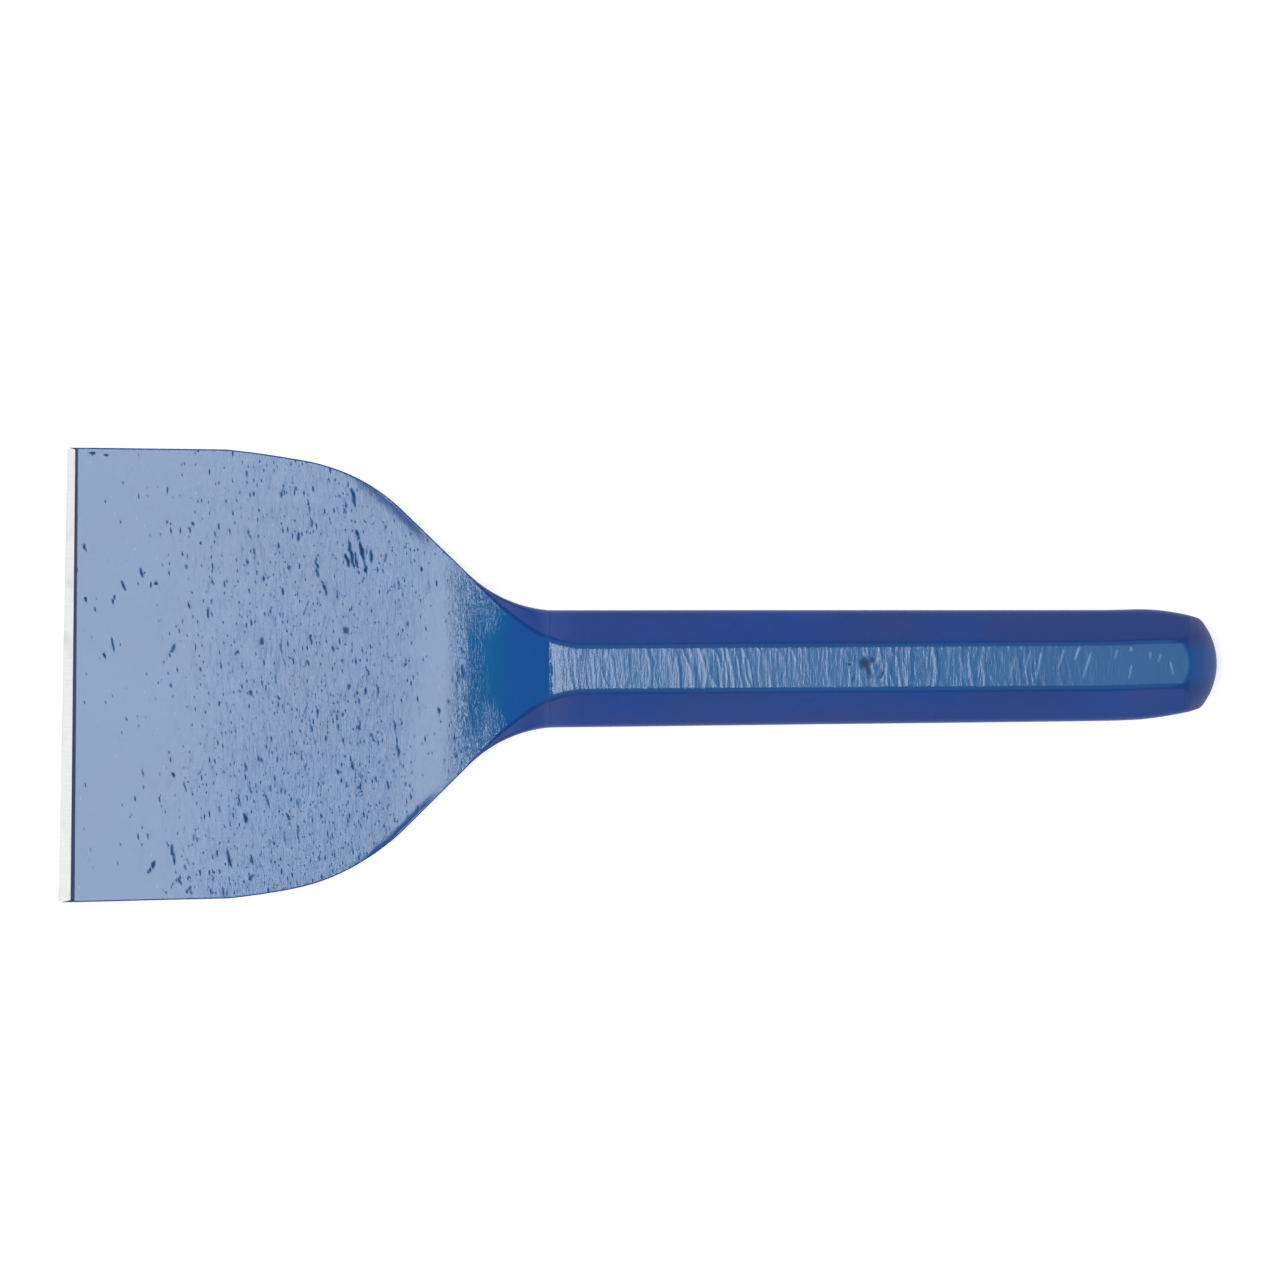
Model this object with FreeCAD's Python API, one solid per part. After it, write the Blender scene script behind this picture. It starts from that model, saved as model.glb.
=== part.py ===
import FreeCAD, Part
import math
import os

# Brick bolster: a wide flat cutting blade forged in one piece with an eight-sided shank,
# dipped in lacquer and then ground bright along the cutting edge.
# It lies flat. +X runs from the cutting edge to the struck head, +Y across the blade, +Z up.
# Lengths are millimetres, taken over the lacquer. A "station" is a distance along the tool
# from the foremost corner of the cutting edge. Angles are measured from the tool's axis.

OVERALL_LENGTH = 254.9
BLADE_WIDTH = 100.0
SHANK_THICKNESS = 25.0
LACQUER = 0.25

# Half of the plan outline: tapered side, two shoulder arcs, straight flank, neck arc, shank
SIDE_TAPER = math.radians(1.1)
SHOULDER_START = 37.5
EASE_RADIUS = 165.0
EASE_ANGLE = math.radians(5.6)
SHOULDER_RADIUS = 45.0
SHOULDER_ANGLE = math.radians(11.3)
FLANK_ANGLE = math.radians(45.0)
NECK_RADIUS = 29.0
NECK_EXIT_ANGLE = math.radians(4.5)
SHANK_START = 108.5
SHANK_HALF_WIDTH = 12.9
SHANK_TAPER = math.radians(0.33)

# Side profile: the blade thins towards its edge, and the neck sweeps up to the shank
BLADE_FACE_TAPER = math.radians(2.0)
SWEEP_RADIUS = 38.0
SWEEP_ANGLE = math.radians(38.0)

# Long edges: a narrow chamfer on the blade grows over the neck into the octagon's corners
BLADE_CHAMFER = 0.45
BLADE_CORNER_RADIUS = 0.4
SHANK_CORNER_RADIUS = 1.9
GROWTH_START = 88.5
GROWTH_END = 116.5
TOP_FACET_WIDTH = 9.6

# Ground cutting edge, which is not quite square to the tool
EDGE_SKEW = math.radians(1.5)
GRIND_SKEW = math.radians(0.8)
GRIND_WIDTH = 2.9
EDGE_LAND = 0.3

# Struck head: the sides draw in along an arc, and a dome with an eased rim ends the tool
CROWN_START = 235.5
CROWN_RADIUS = 55.0
DOME_RADIUS = 15.0
DOME_RIM_RADIUS = 1.5

# The shank stands a little to one side of the blade's middle, and the head a little further
SHANK_OFFSET = 0.7
SHANK_OFFSET_START = 49.5
SHANK_OFFSET_END = 73.5
HEAD_OFFSET = 0.35
HEAD_OFFSET_START = 229.5
HEAD_OFFSET_END = 244.5

# Stock left in front and behind, for the grinding and the domed head to cut away
FRONT_STOCK = 4.0
BACK_STOCK = 3.0
SIDE_REACH = 20.0

SHOULDER_SECTIONS = 12
NECK_SECTIONS = 9
ROOT_SECTIONS = 4
HEAD_SECTIONS = 9

HALF_LENGTH = OVERALL_LENGTH / 2
HALF_WIDTH = BLADE_WIDTH / 2
HALF_THICKNESS = SHANK_THICKNESS / 2
HALF_CORNER = math.radians(22.5)


def run(radius, start, stop):
    """Distance along the tool of an arc that turns from one angle to another."""
    return radius * (math.sin(stop) - math.sin(start))


def rise(distance, radius, start):
    """Sideways travel of an arc that leaves at the start angle, after a distance along."""
    sine = math.sin(start) + distance / radius
    return radius * (math.cos(start) - math.sqrt(1.0 - sine * sine))


EASE_Y = HALF_WIDTH - SHOULDER_START * math.tan(SIDE_TAPER)
SHOULDER_X = SHOULDER_START + run(EASE_RADIUS, EASE_ANGLE, SHOULDER_ANGLE)
SHOULDER_Y = EASE_Y - rise(SHOULDER_X - SHOULDER_START, EASE_RADIUS, EASE_ANGLE)
FLANK_X = SHOULDER_X + run(SHOULDER_RADIUS, SHOULDER_ANGLE, FLANK_ANGLE)
FLANK_Y = SHOULDER_Y - rise(FLANK_X - SHOULDER_X, SHOULDER_RADIUS, SHOULDER_ANGLE)
NECK_X = SHANK_START - run(NECK_RADIUS, NECK_EXIT_ANGLE, FLANK_ANGLE)
NECK_Y = SHANK_HALF_WIDTH + rise(SHANK_START - NECK_X, NECK_RADIUS, NECK_EXIT_ANGLE)
SWEEP_X = SHANK_START - run(SWEEP_RADIUS, BLADE_FACE_TAPER, SWEEP_ANGLE)
ROOT_Z = HALF_THICKNESS - rise(SHANK_START - SWEEP_X, SWEEP_RADIUS, BLADE_FACE_TAPER)


def half_width(station):
    """Half of the plan outline's width."""
    if station <= SHOULDER_START:
        return HALF_WIDTH - station * math.tan(SIDE_TAPER)
    if station <= SHOULDER_X:
        return EASE_Y - rise(station - SHOULDER_START, EASE_RADIUS, EASE_ANGLE)
    if station <= FLANK_X:
        return SHOULDER_Y - rise(station - SHOULDER_X, SHOULDER_RADIUS, SHOULDER_ANGLE)
    if station <= NECK_X:
        return FLANK_Y + (NECK_Y - FLANK_Y) * (station - FLANK_X) / (NECK_X - FLANK_X)
    if station <= SHANK_START:
        return SHANK_HALF_WIDTH + rise(SHANK_START - station, NECK_RADIUS, NECK_EXIT_ANGLE)
    width = SHANK_HALF_WIDTH - (station - SHANK_START) * math.tan(SHANK_TAPER)
    return width - rise(max(station - CROWN_START, 0.0), CROWN_RADIUS, 0.0)


def half_thickness(station):
    """Half of the side profile's thickness."""
    if station <= SWEEP_X:
        return ROOT_Z - (SWEEP_X - station) * math.tan(BLADE_FACE_TAPER)
    if station <= SHANK_START:
        return ROOT_Z + rise(station - SWEEP_X, SWEEP_RADIUS, BLADE_FACE_TAPER)
    return HALF_THICKNESS


def ease(low, high, station):
    """0 before low, 1 after high, and an eased ramp between."""
    share = min(max((station - low) / (high - low), 0.0), 1.0)
    return share * share * (3.0 - 2.0 * share)


def centre_line(station):
    """How far the middle of the outline lies to the +Y side."""
    shank = SHANK_OFFSET * ease(SHANK_OFFSET_START, SHANK_OFFSET_END, station)
    return shank + HEAD_OFFSET * ease(HEAD_OFFSET_START, HEAD_OFFSET_END, station)


def section(station, inset):
    """Outline across the tool: an octagon with rounded corners, drawn in by the inset."""
    grown = ease(GROWTH_START, GROWTH_END, station)
    w = half_width(station)
    full = min(w, SHANK_HALF_WIDTH) - TOP_FACET_WIDTH / 2
    c = BLADE_CHAMFER + (full - BLADE_CHAMFER) * grown - inset * (2.0 - math.sqrt(2.0))
    r = BLADE_CORNER_RADIUS + (SHANK_CORNER_RADIUS - BLADE_CORNER_RADIUS) * grown - inset
    t = half_thickness(station) - inset
    w -= inset
    right = [(w - c, t), (w, t - c), (w, c - t), (w - c, -t)]
    left = [(-y, z) for y, z in reversed(right)]
    middle = centre_line(station)
    return rounded_outline([point(station, middle + y, z) for y, z in right + left], r)


def rounded_outline(corners, radius):
    """Closed wire through eight corners of 45 degrees, each rounded to the radius."""
    leg = radius * math.tan(HALF_CORNER)
    sagitta = radius * (1.0 / math.cos(HALF_CORNER) - 1.0)
    starts = []
    stops = []
    middles = []
    for k, corner in enumerate(corners):
        back = (corners[k - 1] - corner).normalize()
        ahead = (corners[(k + 1) % len(corners)] - corner).normalize()
        starts.append(corner + back * leg)
        stops.append(corner + ahead * leg)
        middles.append(corner + (back + ahead).normalize() * sagitta)
    edges = []
    for k, start in enumerate(starts):
        edges.append(Part.Arc(start, middles[k], stops[k]).toShape())
        edges.append(Part.LineSegment(stops[k], starts[(k + 1) % len(starts)]).toShape())
    return Part.Wire(edges)


def true_plane(face):
    """The same face, held as a true plane if it is flat."""
    plane = face.findPlane()
    if not plane:
        return face
    flat = Part.Face(plane, face.OuterWire)
    outward = face.normalAt(*face.Surface.parameter(face.CenterOfMass))
    if flat.normalAt(0, 0).dot(outward) < 0:
        flat.reverse()
    return flat


def loft(first, last, count, inset):
    """Solid between two stations. Two sections give straight sides, more give smooth ones."""
    stations = [first + (last - first) * k / (count - 1) for k in range(count)]
    wires = [section(station, inset) for station in stations]
    solid = Part.makeLoft(wires, True, count == 2)
    return Part.Solid(Part.Shell([true_plane(face) for face in solid.Faces]))


def point(station, y, z):
    """A point at a station, a distance across, and a height from the middle plane."""
    return FreeCAD.Vector(station - HALF_LENGTH, y, z + HALF_THICKNESS)


def dome_waste(inset):
    """Stock that dressing the domed end takes away. The dome's seam is turned away from it."""
    middle = OVERALL_LENGTH - DOME_RADIUS
    centre = point(middle, SHANK_OFFSET + HEAD_OFFSET, 0)
    dome = Part.makeSphere(DOME_RADIUS - inset, centre)
    dome.rotate(centre, FreeCAD.Vector(0, 0, 1), 180)
    corner = point(middle, -SIDE_REACH, -SIDE_REACH)
    length = DOME_RADIUS + 2 * BACK_STOCK
    return Part.makeBox(length, 2 * SIDE_REACH, 2 * SIDE_REACH, corner).cut(dome)


def blank(inset):
    """The whole tool before its edge is ground, drawn in by the inset."""
    blade = loft(-FRONT_STOCK, SHOULDER_START, 2, inset)
    shoulder = loft(SHOULDER_START, SWEEP_X, SHOULDER_SECTIONS, inset)
    neck = loft(SWEEP_X, SHANK_START, NECK_SECTIONS, inset)
    root = loft(SHANK_START, GROWTH_END, ROOT_SECTIONS, inset)
    shank = loft(GROWTH_END, HEAD_OFFSET_START, 2, inset)
    head = loft(HEAD_OFFSET_START, OVERALL_LENGTH + BACK_STOCK, HEAD_SECTIONS, inset)
    bar = blade.fuse([shoulder, neck, root, shank, head]).removeSplitter()
    domed = bar.cut(dome_waste(inset)).Solids[0]
    dome = next(face for face in domed.Faces if isinstance(face.Surface, Part.Sphere))
    return domed.makeFillet(DOME_RIM_RADIUS - inset, dome.Edges)


def grind_outline(y):
    """Side view, at a distance across the blade, of what the grinding leaves."""
    edge = HALF_WIDTH * math.tan(EDGE_SKEW) + y * math.tan(EDGE_SKEW)
    width = GRIND_WIDTH - y * (math.tan(EDGE_SKEW) - math.tan(GRIND_SKEW))
    slope = (half_thickness(edge + width) - EDGE_LAND / 2) / width
    far = edge + (SIDE_REACH - EDGE_LAND / 2) / slope
    back = OVERALL_LENGTH + BACK_STOCK
    upper = [(edge, EDGE_LAND / 2), (far, SIDE_REACH), (back, SIDE_REACH)]
    lower = [(x, -z) for x, z in reversed(upper)]
    corners = [point(x, y, z) for x, z in upper + lower]
    return Part.makePolygon(corners + corners[:1])


def ground_space():
    """Everything behind the two ground bevels and the cutting edge between them."""
    reach = HALF_WIDTH + FRONT_STOCK
    return Part.makeLoft([grind_outline(-reach), grind_outline(reach)], True, True)


def main():
    os.makedirs("parts", exist_ok=True)
    kept = ground_space()
    outside = blank(0.0)
    inside = blank(LACQUER)
    forging = inside.common(kept)
    forging.exportStep("parts/forged_steel_body.step")
    lacquer = outside.common(kept).cut(inside)
    lacquer.exportStep("parts/lacquer_coat.step")


main()
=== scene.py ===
import math
import random

import bpy
import numpy as np
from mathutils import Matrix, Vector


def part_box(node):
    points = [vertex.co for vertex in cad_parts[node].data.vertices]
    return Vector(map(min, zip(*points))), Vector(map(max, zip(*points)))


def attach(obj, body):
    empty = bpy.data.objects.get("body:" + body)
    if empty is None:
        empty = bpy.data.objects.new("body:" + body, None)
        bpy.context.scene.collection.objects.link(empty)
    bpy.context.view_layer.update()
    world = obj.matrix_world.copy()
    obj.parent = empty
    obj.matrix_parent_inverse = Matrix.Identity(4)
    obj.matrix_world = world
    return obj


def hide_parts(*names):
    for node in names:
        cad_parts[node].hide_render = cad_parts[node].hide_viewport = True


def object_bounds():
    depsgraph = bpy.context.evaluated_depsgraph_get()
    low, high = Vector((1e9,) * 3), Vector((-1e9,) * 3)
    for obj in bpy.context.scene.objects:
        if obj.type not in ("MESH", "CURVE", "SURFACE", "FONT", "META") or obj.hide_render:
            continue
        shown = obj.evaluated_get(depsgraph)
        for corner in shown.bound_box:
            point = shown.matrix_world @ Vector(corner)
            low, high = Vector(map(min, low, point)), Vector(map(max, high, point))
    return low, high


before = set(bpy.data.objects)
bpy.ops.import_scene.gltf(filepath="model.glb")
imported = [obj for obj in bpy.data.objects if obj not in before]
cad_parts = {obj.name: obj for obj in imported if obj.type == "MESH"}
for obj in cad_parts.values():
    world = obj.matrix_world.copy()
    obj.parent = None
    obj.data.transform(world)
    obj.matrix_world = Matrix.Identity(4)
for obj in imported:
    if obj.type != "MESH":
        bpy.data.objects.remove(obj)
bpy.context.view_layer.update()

# Brick bolster: the blue lacquer is rebuilt as a fine mesh with the pits and wrinkles of the
# forging under it, and the CAD steel shows only at the ground edge.
# Lengths are millimetres in the shaping, and metres once they reach Blender. A "station" is
# a distance along the tool from the foremost corner of the cutting edge, as in the CAD.

MM = 0.001

# Shape of the tool, over the lacquer
LENGTH = 254.9
HALF_WIDTH = 50.0
HALF_THICKNESS = 12.5
LACQUER = 0.25

# Half of the plan outline: tapered side, two shoulder arcs, straight flank, neck arc, shank
SIDE_TAPER = math.radians(1.1)
SHOULDER_START = 37.5
EASE_RADIUS = 165.0
EASE_ANGLE = math.radians(5.6)
SHOULDER_RADIUS = 45.0
SHOULDER_ANGLE = math.radians(11.3)
FLANK_ANGLE = math.radians(45.0)
NECK_RADIUS = 29.0
NECK_EXIT_ANGLE = math.radians(4.5)
SHANK_START = 108.5
SHANK_HALF_WIDTH = 12.9
SHANK_TAPER = math.radians(0.33)

# Side profile: the blade thins towards its edge, and the neck sweeps up to the shank
BLADE_FACE_TAPER = math.radians(2.0)
SWEEP_RADIUS = 38.0
SWEEP_ANGLE = math.radians(38.0)

# Long edges: a narrow chamfer on the blade grows over the neck into the octagon's corners.
# The film's outer corners are a little crisper on the blade than the CAD's, and softer in
# the neck.
BLADE_CHAMFER = 0.45
BLADE_CORNER_RADIUS = 0.4
SHANK_CORNER_RADIUS = 1.9
GROWTH_START = 88.5
GROWTH_END = 116.5
TOP_FACET_WIDTH = 9.6
EDGE_CRISPING = 0.22
NECK_EASING = 3.0
CORNERS = 8
EIGHTH = 2 * math.pi / CORNERS

# Ground cutting edge, which is not quite square to the tool
EDGE_SKEW = math.tan(math.radians(1.5))
GRIND_SKEW = math.tan(math.radians(0.8))
GRIND_WIDTH = 2.9
EDGE_LAND = 0.3

# Struck head: the sides draw in along an arc, and a dome with an eased rim ends the tool
CROWN_START = 235.5
CROWN_RADIUS = 55.0
DOME_RADIUS = 15.0
DOME_MIDDLE = LENGTH - DOME_RADIUS
DOME_START = 246.0
DOME_EASE = 0.35

# The shank stands a little to one side of the blade's middle, and the head a little further
SHANK_OFFSET = 0.7
SHANK_OFFSET_START = 49.5
SHANK_OFFSET_END = 73.5
HEAD_OFFSET = 0.35
HEAD_OFFSET_START = 229.5
HEAD_OFFSET_END = 244.5

# Mesh of the film: how far apart its rings and their points are, outside and inside. The
# rings of the front zone turn from the line of the ground bevels to square to the tool, and
# the first settles onto the bevels in a few rounds.
ROW_STEP = 0.25
COLUMN_STEP = 0.42
INNER_STEP = 1.6
FRONT_ZONE_END = 16.0
SEGMENTS = 2 * CORNERS
SETTLING_ROUNDS = 6


def smooth_step(first, last, value):
    """An eased ramp: 0 at the first value and before it, 1 at the last and past it."""
    share = np.clip((value - first) / (last - first), 0.0, 1.0)
    return share * share * (3 - 2 * share)


def run(radius, start, stop):
    """Distance along the tool of an arc that turns from one angle to another."""
    return radius * (math.sin(stop) - math.sin(start))


def rise(distance, radius, start):
    """Sideways travel of an arc that leaves at the start angle, after a distance along."""
    sine = np.clip(math.sin(start) + distance / radius, -1.0, 1.0)
    return radius * (math.cos(start) - np.sqrt(1.0 - sine * sine))


EASE_Y = HALF_WIDTH - SHOULDER_START * math.tan(SIDE_TAPER)
SHOULDER_X = SHOULDER_START + run(EASE_RADIUS, EASE_ANGLE, SHOULDER_ANGLE)
SHOULDER_Y = EASE_Y - rise(SHOULDER_X - SHOULDER_START, EASE_RADIUS, EASE_ANGLE)
FLANK_X = SHOULDER_X + run(SHOULDER_RADIUS, SHOULDER_ANGLE, FLANK_ANGLE)
FLANK_Y = SHOULDER_Y - rise(FLANK_X - SHOULDER_X, SHOULDER_RADIUS, SHOULDER_ANGLE)
NECK_X = SHANK_START - run(NECK_RADIUS, NECK_EXIT_ANGLE, FLANK_ANGLE)
NECK_Y = SHANK_HALF_WIDTH + rise(SHANK_START - NECK_X, NECK_RADIUS, NECK_EXIT_ANGLE)
SWEEP_X = SHANK_START - run(SWEEP_RADIUS, BLADE_FACE_TAPER, SWEEP_ANGLE)
ROOT_Z = HALF_THICKNESS - rise(SHANK_START - SWEEP_X, SWEEP_RADIUS, BLADE_FACE_TAPER)


def half_width(s):
    """Half of the plan outline's width at stations s."""
    flank = FLANK_Y + (NECK_Y - FLANK_Y) * (s - FLANK_X) / (NECK_X - FLANK_X)
    crown = rise(np.maximum(s - CROWN_START, 0.0), CROWN_RADIUS, 0.0)
    return np.select(
        [s <= SHOULDER_START, s <= SHOULDER_X, s <= FLANK_X, s <= NECK_X, s <= SHANK_START],
        [
            HALF_WIDTH - s * math.tan(SIDE_TAPER),
            EASE_Y - rise(s - SHOULDER_START, EASE_RADIUS, EASE_ANGLE),
            SHOULDER_Y - rise(s - SHOULDER_X, SHOULDER_RADIUS, SHOULDER_ANGLE),
            flank,
            SHANK_HALF_WIDTH + rise(SHANK_START - s, NECK_RADIUS, NECK_EXIT_ANGLE),
        ],
        SHANK_HALF_WIDTH - (s - SHANK_START) * math.tan(SHANK_TAPER) - crown,
    )


def half_thickness(s):
    """Half of the side profile's thickness at stations s."""
    return np.select(
        [s <= SWEEP_X, s <= SHANK_START],
        [
            ROOT_Z - (SWEEP_X - s) * math.tan(BLADE_FACE_TAPER),
            ROOT_Z + rise(s - SWEEP_X, SWEEP_RADIUS, BLADE_FACE_TAPER),
        ],
        HALF_THICKNESS,
    )


def centre_line(s):
    """How far the middle of the outline lies to the +Y side at stations s."""
    shank = SHANK_OFFSET * smooth_step(SHANK_OFFSET_START, SHANK_OFFSET_END, s)
    return shank + HEAD_OFFSET * smooth_step(HEAD_OFFSET_START, HEAD_OFFSET_END, s)


def section_sizes(s, inset):
    """Half width, half thickness, chamfer and corner radius of the outline at stations s."""
    grown = smooth_step(GROWTH_START, GROWTH_END, s)
    w = half_width(s)
    full = np.minimum(w, SHANK_HALF_WIDTH) - TOP_FACET_WIDTH / 2
    c = BLADE_CHAMFER + (full - BLADE_CHAMFER) * grown - inset * (2 - math.sqrt(2))
    r = BLADE_CORNER_RADIUS + (SHANK_CORNER_RADIUS - BLADE_CORNER_RADIUS) * grown - inset
    if inset == 0.0:
        c = c - EDGE_CRISPING * (1.0 - grown)
        r = r - EDGE_CRISPING * (1.0 - grown) + NECK_EASING * grown * (1.0 - grown)
    return w - inset, half_thickness(s) - inset, c, r


def corner_centre(corner, s, inset):
    """Centre (y, z) of the rounding at one of the outline's eight corners, clockwise."""
    w, t, c, r = section_sizes(s, inset)
    corner = np.asarray(corner) % CORNERS
    left = corner >= CORNERS // 2
    k = np.where(left, CORNERS - 1 - corner, corner)
    y = np.select([k == 0, k == 1, k == 2], [w - c, w, w], w - c)
    z = np.select([k == 0, k == 1, k == 2], [t, t - c, c - t], -t)
    reach = r / (1 + math.cos(EIGHTH))
    before = EIGHTH * (2 - k)
    after = EIGHTH * (1 - k)
    y = y - reach * (np.cos(before) + np.cos(after))
    z = z - reach * (np.sin(before) + np.sin(after))
    return np.where(left, -y, y), z, r


def outline_point(s, segment, part, inset):
    """(y, z) on the outline, from its middle: even segments are round corners, odd ones flats."""
    corner = segment // 2
    round_one = segment % 2 == 0
    y0, z0, r = corner_centre(corner, s, inset)
    y1, z1, _ = corner_centre(corner + 1, s, inset)
    along = np.where(round_one, 0.0, part)
    turn = np.where(round_one, part, 1.0)
    angle = EIGHTH * (2 - corner - turn)
    y = y0 + (y1 - y0) * along + r * np.cos(angle)
    z = z0 + (z1 - z0) * along + r * np.sin(angle)
    return y, z


def segment_lengths(s, inset):
    """Length of each of the outline's segments at one station."""
    w, t, c, r = [float(v) for v in section_sizes(np.float64(s), inset)]
    cut = 2 * r * math.tan(EIGHTH / 2)
    flats = [c * math.sqrt(2), 2 * (t - c), c * math.sqrt(2), 2 * (w - c)] * 2
    lengths = []
    for flat in flats:
        lengths += [r * EIGHTH, flat - cut]
    return lengths


def ground_station(y, z):
    """Station of the ground edge and bevels at a distance across and a height."""
    edge = (HALF_WIDTH + y) * EDGE_SKEW
    width = GRIND_WIDTH - y * (EDGE_SKEW - GRIND_SKEW)
    slope = (half_thickness(edge + width) - EDGE_LAND / 2) / width
    return edge + np.maximum(np.abs(z) - EDGE_LAND / 2, 0.0) / slope


def dome_stations(inset, step):
    """Stations of the rings over the domed end, an even step apart over the dome."""
    reach = DOME_RADIUS - inset
    start = math.acos((DOME_START - DOME_MIDDLE) / reach)
    turns = np.linspace(start, 0.0, round(reach * start / step), endpoint=False)
    return DOME_MIDDLE + reach * np.cos(turns)


def dome_section(s, inset):
    """Radius of the dome at stations s."""
    return np.sqrt((DOME_RADIUS - inset) ** 2 - (s - DOME_MIDDLE) ** 2)


def ring_points(s, counts, inset, front):
    """Points of one ring. In the front zone, the front share is how far it lies from the
    ground bevels to the end of the zone."""
    segment = np.repeat(np.arange(SEGMENTS), counts)
    part = np.concatenate([np.arange(n) / n for n in counts])
    station = np.full(len(segment), float(s))
    if front is not None:
        start = np.full(len(segment), GRIND_WIDTH)
        for _ in range(SETTLING_ROUNDS):
            y, z = outline_point(start, segment, part, inset)
            start = ground_station(y, z)
        station = start + (FRONT_ZONE_END - start) * front
    y, z = outline_point(station, segment, part, inset)
    if s >= DOME_START:
        reach, dome = np.hypot(y, z), dome_section(s, inset)
        eased = np.maximum(DOME_EASE - np.abs(reach - dome), 0.0) ** 2 / (4 * DOME_EASE)
        shrink = (np.minimum(reach, dome) - eased) / reach
        y, z = y * shrink, z * shrink
    return np.stack([station, centre_line(station) + y, z], axis=1)


def zip_rings(first, second, first_counts, second_counts):
    """Triangles between two rings, matched segment by segment."""
    faces = []
    first_at = np.concatenate([[0], np.cumsum(first_counts)])
    second_at = np.concatenate([[0], np.cumsum(second_counts)])
    first_size, second_size = first_at[-1], second_at[-1]
    for k in range(SEGMENTS):
        n, m = first_counts[k], second_counts[k]
        steps = np.concatenate([(np.arange(n) + 0.5) / n, (np.arange(m) + 0.5) / m + 1e-9])
        on_first = np.concatenate([np.ones(n, bool), np.zeros(m, bool)])[np.argsort(steps)]
        i = np.cumsum(on_first) - on_first
        j = np.cumsum(~on_first) - ~on_first
        a = first + (first_at[k] + i) % first_size
        b = second + (second_at[k] + j) % second_size
        a_next = first + (first_at[k] + i + 1) % first_size
        b_next = second + (second_at[k] + j + 1) % second_size
        faces.append(np.stack([a, b, np.where(on_first, a_next, b_next)], axis=1))
    return np.concatenate(faces)


def ring_stations(inset, row_step):
    """Station of each ring but the last point's, with its front share or None."""
    front_rows = round(FRONT_ZONE_END / row_step)
    rings = [(FRONT_ZONE_END * k / front_rows, k / front_rows) for k in range(front_rows)]
    for first, last in [(FRONT_ZONE_END, SHANK_START), (SHANK_START, DOME_START)]:
        rows = round((last - first) / row_step)
        rings += [(s, None) for s in np.linspace(first, last, rows, endpoint=False)]
    return rings + [(s, None) for s in dome_stations(inset, row_step)]


def ring_counts(s, inset, column_step):
    """Number of points on each segment of the ring at one station."""
    lengths = np.array(segment_lengths(s, inset))
    if s >= DOME_START:
        lengths *= min(1.0, 2 * math.pi * dome_section(s, inset) / lengths.sum())
    least = np.where(np.arange(SEGMENTS) % 2 == 0, 2, 1)
    return np.maximum(least, np.round(lengths / column_step).astype(int))


def skin(inset, row_step, column_step):
    """One side of the lacquer film: points, triangles, and the front ring's counts."""
    points, faces, counts = [], [], []
    start = total = 0
    for s, front in ring_stations(inset, row_step):
        counts.append(ring_counts(s, inset, column_step))
        points.append(ring_points(s, counts[-1], inset, front))
        if len(counts) > 1:
            faces.append(zip_rings(start, total, counts[-2], counts[-1]))
        start = total
        total += counts[-1].sum()
    points.append(np.array([[LENGTH - inset, SHANK_OFFSET + HEAD_OFFSET, 0.0]]))
    last = np.arange(start, total)
    faces.append(np.stack([last, np.full(len(last), total), np.roll(last, -1)], axis=1))
    return np.concatenate(points), np.concatenate(faces), counts[0]


def vertex_normals(points, faces):
    """Area-weighted normals of a triangle mesh."""
    a, b, c = (points[faces[:, k]] for k in range(3))
    flat = np.cross(b - a, c - a)
    normals = np.zeros_like(points)
    for k in range(3):
        np.add.at(normals, faces[:, k], flat)
    return normals / np.maximum(np.linalg.norm(normals, axis=1), 1e-12)[:, None]


# Relief of the forged surface under the lacquer: heights over the plain shape. The faces roll
# off towards the outline of the blade, and the shank's flats begin with a sunk step.
RELIEF_LOW = -0.2
RELIEF_HIGH = 0.1
STEEP_LOW = -0.15
ROLL_WIDTH = 2.4
ROLL_DROP = 0.14
STEP_WIDTH = 5.5
STEP_DROP = 0.19
NOISE_CELLS = 48

# How strongly the hammer marks show on the blade, and how much the smooth patch before the
# neck takes away
GRAIN_LEAST = 0.06
GRAIN_MIDDLE = 0.85
GRAIN_TILT = 0.3
PATCH_FADE = 0.85
PATCH_LEAN = 0.1

# Stations between which a feature comes or goes
GRAIN_RISE = (12.0, 50.0)
PATCH_RISE = (74.0, 84.0)
PATCH_FALL = (84.0, 89.0)
BAND_RISE = (64.0, 73.0)
BAND_FALL = (78.0, 86.0)
SIDE_ROLL_RISE = (10.0, 60.0)
BLADE_FALL = (95.0, 102.0)
WRINKLE_RISE = (107.5, 109.0)
WRINKLE_FALL = (198.0, 240.0)
HEAD_FALL = (246.0, 252.0)
SPECK_FALL = (87.0, 92.0)
LEDGE_RISE = (86.5, 91.5)
TONGUE_RISE = (90.0, 95.0)
SHELF_RISE = (89.0, 99.0)
BLADE_SHADE_FALL = (98.0, 106.0)
CORNER_RISE = (104.0, 112.0)
CORNER_FALL = (243.0, 247.0)
SHANK_SHADE_RISE = (108.0, 109.0)
SHANK_SHADE_FALL = (200.0, 240.0)
WRINKLE_SHADE_FALL = (246.0, 248.0)
HEAD_RISE = (246.0, 250.0)

# Heights that are only in the material's bump, where their slopes turn the reflections. By
# the neck the middle of the blade dips in a ledge and rises in a tongue, its sides sink in
# a shelf, and its shoulders roll off.
LEDGE_DROP = 0.13
TONGUE_HEIGHT = 0.42
SHELF_DROP = 0.45
SHOULDER_DROP = 0.26

# How far behind the ground bevels the navy of the lacquer's cut end, partly its thick edge and
# partly painted shadow, has faded out
TRIM_WIDTH = 0.8

# Where the light catches flecks as the blade turns up, which is later and longer in the side
# strips, and how wide the shoulders' shade is. A strip lies between two distances inwards.
TURN_STATION = 90.5
TURN_SPREAD = 3.0
SIDE_TURN_DELAY = 3.0
SIDE_TURN_SPREAD = 2.5
SIDE_STRIP = (10.0, 2.0)
SHOULDER_SHADE_WIDTH = 3.3

# Where the blade turns up into the neck
TRANSITION = 92.0

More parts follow.
